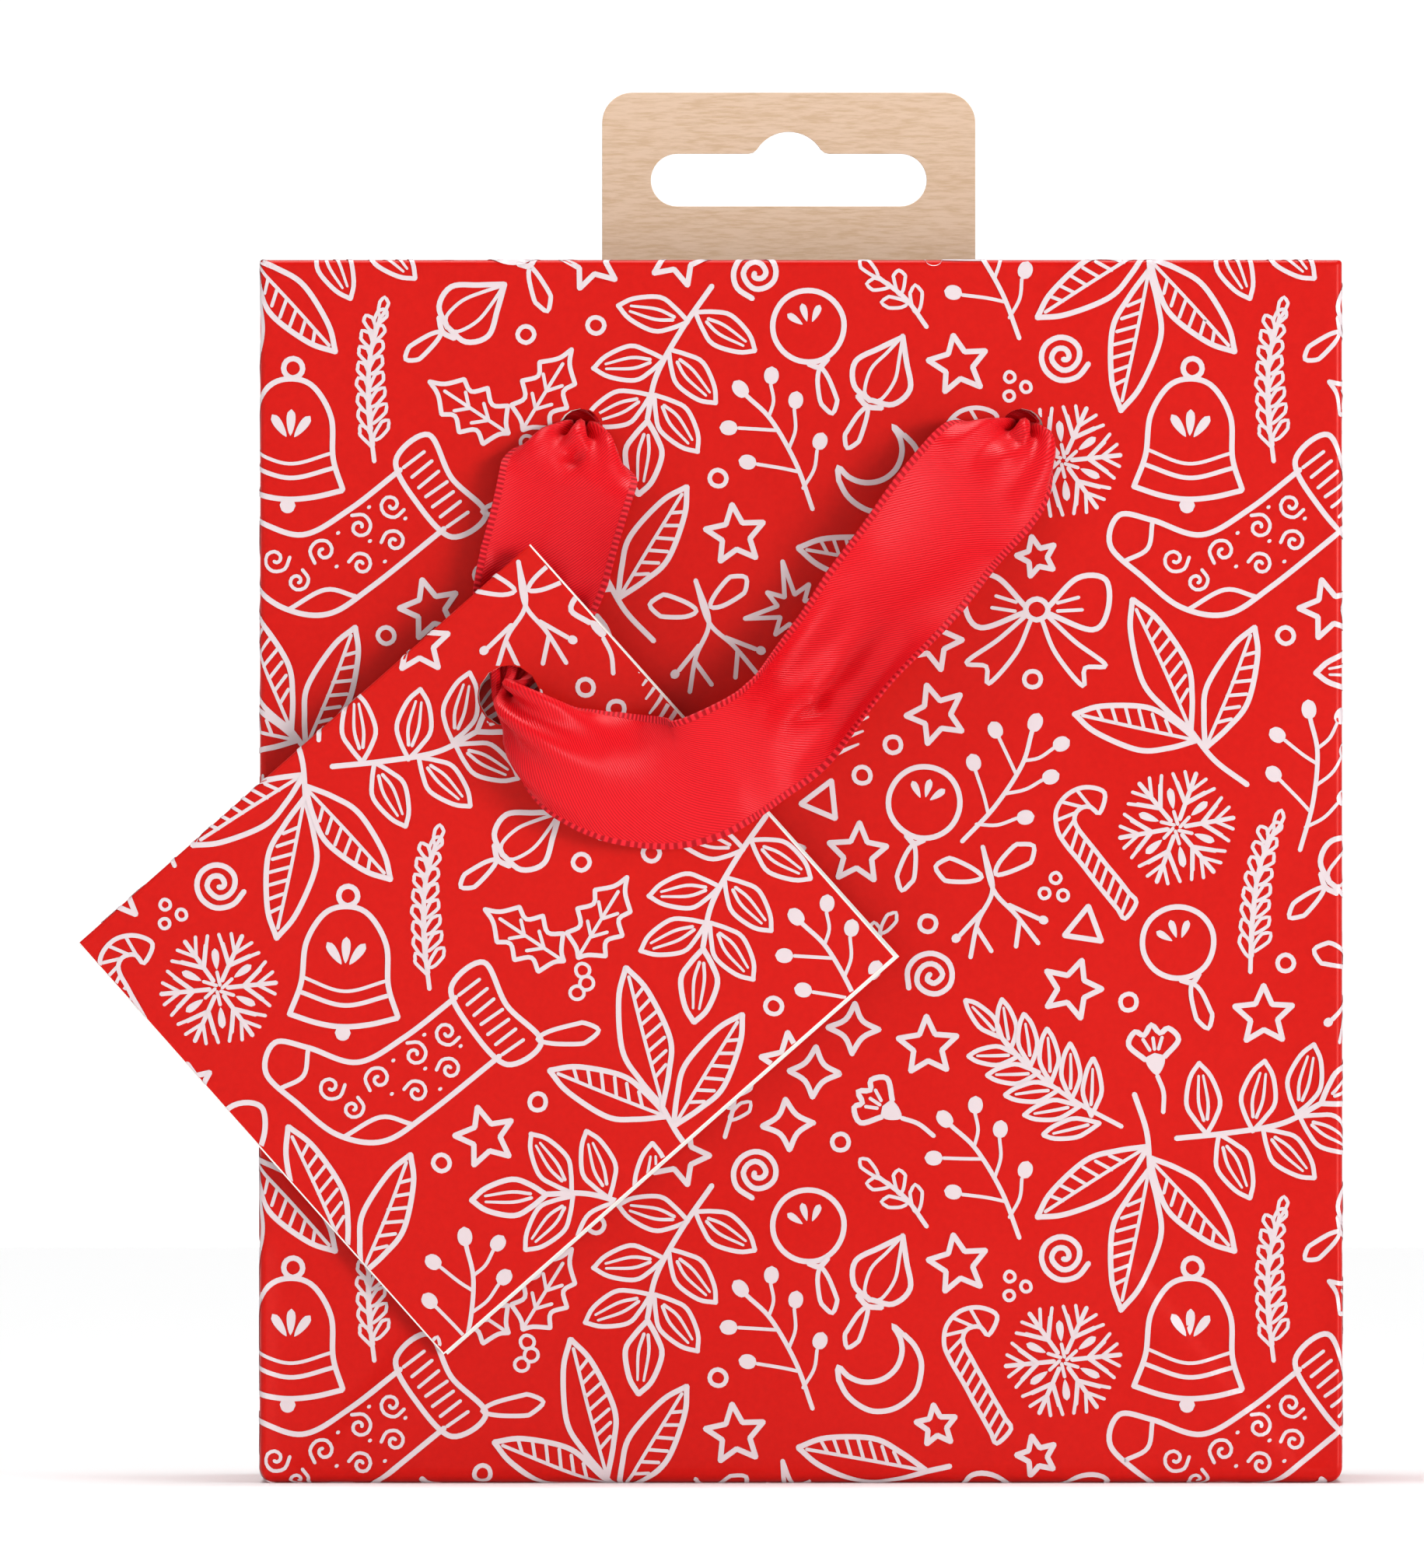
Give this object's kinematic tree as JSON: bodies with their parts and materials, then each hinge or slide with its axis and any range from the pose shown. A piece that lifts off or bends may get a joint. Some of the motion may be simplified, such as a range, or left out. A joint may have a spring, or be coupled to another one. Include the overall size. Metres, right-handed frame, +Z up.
{
  "type": "gift bag",
  "caption": "Small square paper gift bag standing open, with satin ribbon handles, a folded gift tag hanging from one handle and a kraft card tab with a hanging slot.",
  "frame": {"origin": "centre of the base, on the surface the bag stands on", "axes": "+X along the width, to the right seen from the front; -Y the way the front panel with the gift tag faces; +Z up, out of the mouth"},
  "size_m": [0.1443, 0.0725, 0.1602],
  "materials": {
    "printed_paper": "gloss laminated print, white line drawings on red",
    "plain_paper": "uncoated white inside of the sheet",
    "stiffener_board": "uncoated greyboard",
    "kraft_board": "uncoated kraft with fine fibres",
    "adhesive_tape": "double-sided tape",
    "satin_ribbon": "woven single-face satin with a woven edge",
    "tag_card": "gloss laminated print with white cut edges"
  },
  "bodies": {
    "bag": {"front_panel": "printed_paper", "back_panel": "printed_paper", "left_gusset": "printed_paper", "right_gusset": "printed_paper", "front_hem": "printed_paper", "back_hem": "printed_paper", "left_hem": "printed_paper", "right_hem": "printed_paper", "bottom_front_flap": "printed_paper", "bottom_back_flap": "printed_paper", "bottom_left_flap": "printed_paper", "bottom_right_flap": "printed_paper", "seam_flap": "plain_paper", "front_stiffener": "stiffener_board", "back_stiffener": "stiffener_board", "hang_tab": "kraft_board", "tab_tape": "adhesive_tape", "front_left_knot": "satin_ribbon", "front_right_knot": "satin_ribbon", "back_left_knot": "satin_ribbon", "back_right_knot": "satin_ribbon"},
    "front_handle": {"front_ribbon": "satin_ribbon"},
    "back_handle": {"back_ribbon": "satin_ribbon"},
    "tag": {"tag_cover": "tag_card", "tag_leaf": "tag_card"},
    "base_card": {"bottom_card": "stiffener_board"}
  },
  "joints": [
    {"name": "front_handle_swing", "type": "hinge", "parent": "bag", "child": "front_handle", "pos_m": [0, -0.03, 0.1205], "axis": [-1, 0, 0], "range_deg": [0, 150]},
    {"name": "back_handle_swing", "type": "hinge", "parent": "bag", "child": "back_handle", "pos_m": [0, 0.03, 0.1205], "axis": [1, 0, 0], "range_deg": [0, 150]},
    {"name": "tag_swing", "type": "hinge", "parent": "front_handle", "child": "tag", "pos_m": [-0.0334, -0.033, 0.0901], "axis": [0, -0.9981, -0.061], "range_deg": [-25, 25]},
    {"name": "base_card_lift", "type": "slide", "parent": "bag", "child": "base_card", "axis": [0, 0, 1], "range_m": [0, 0.112]}
  ]
}
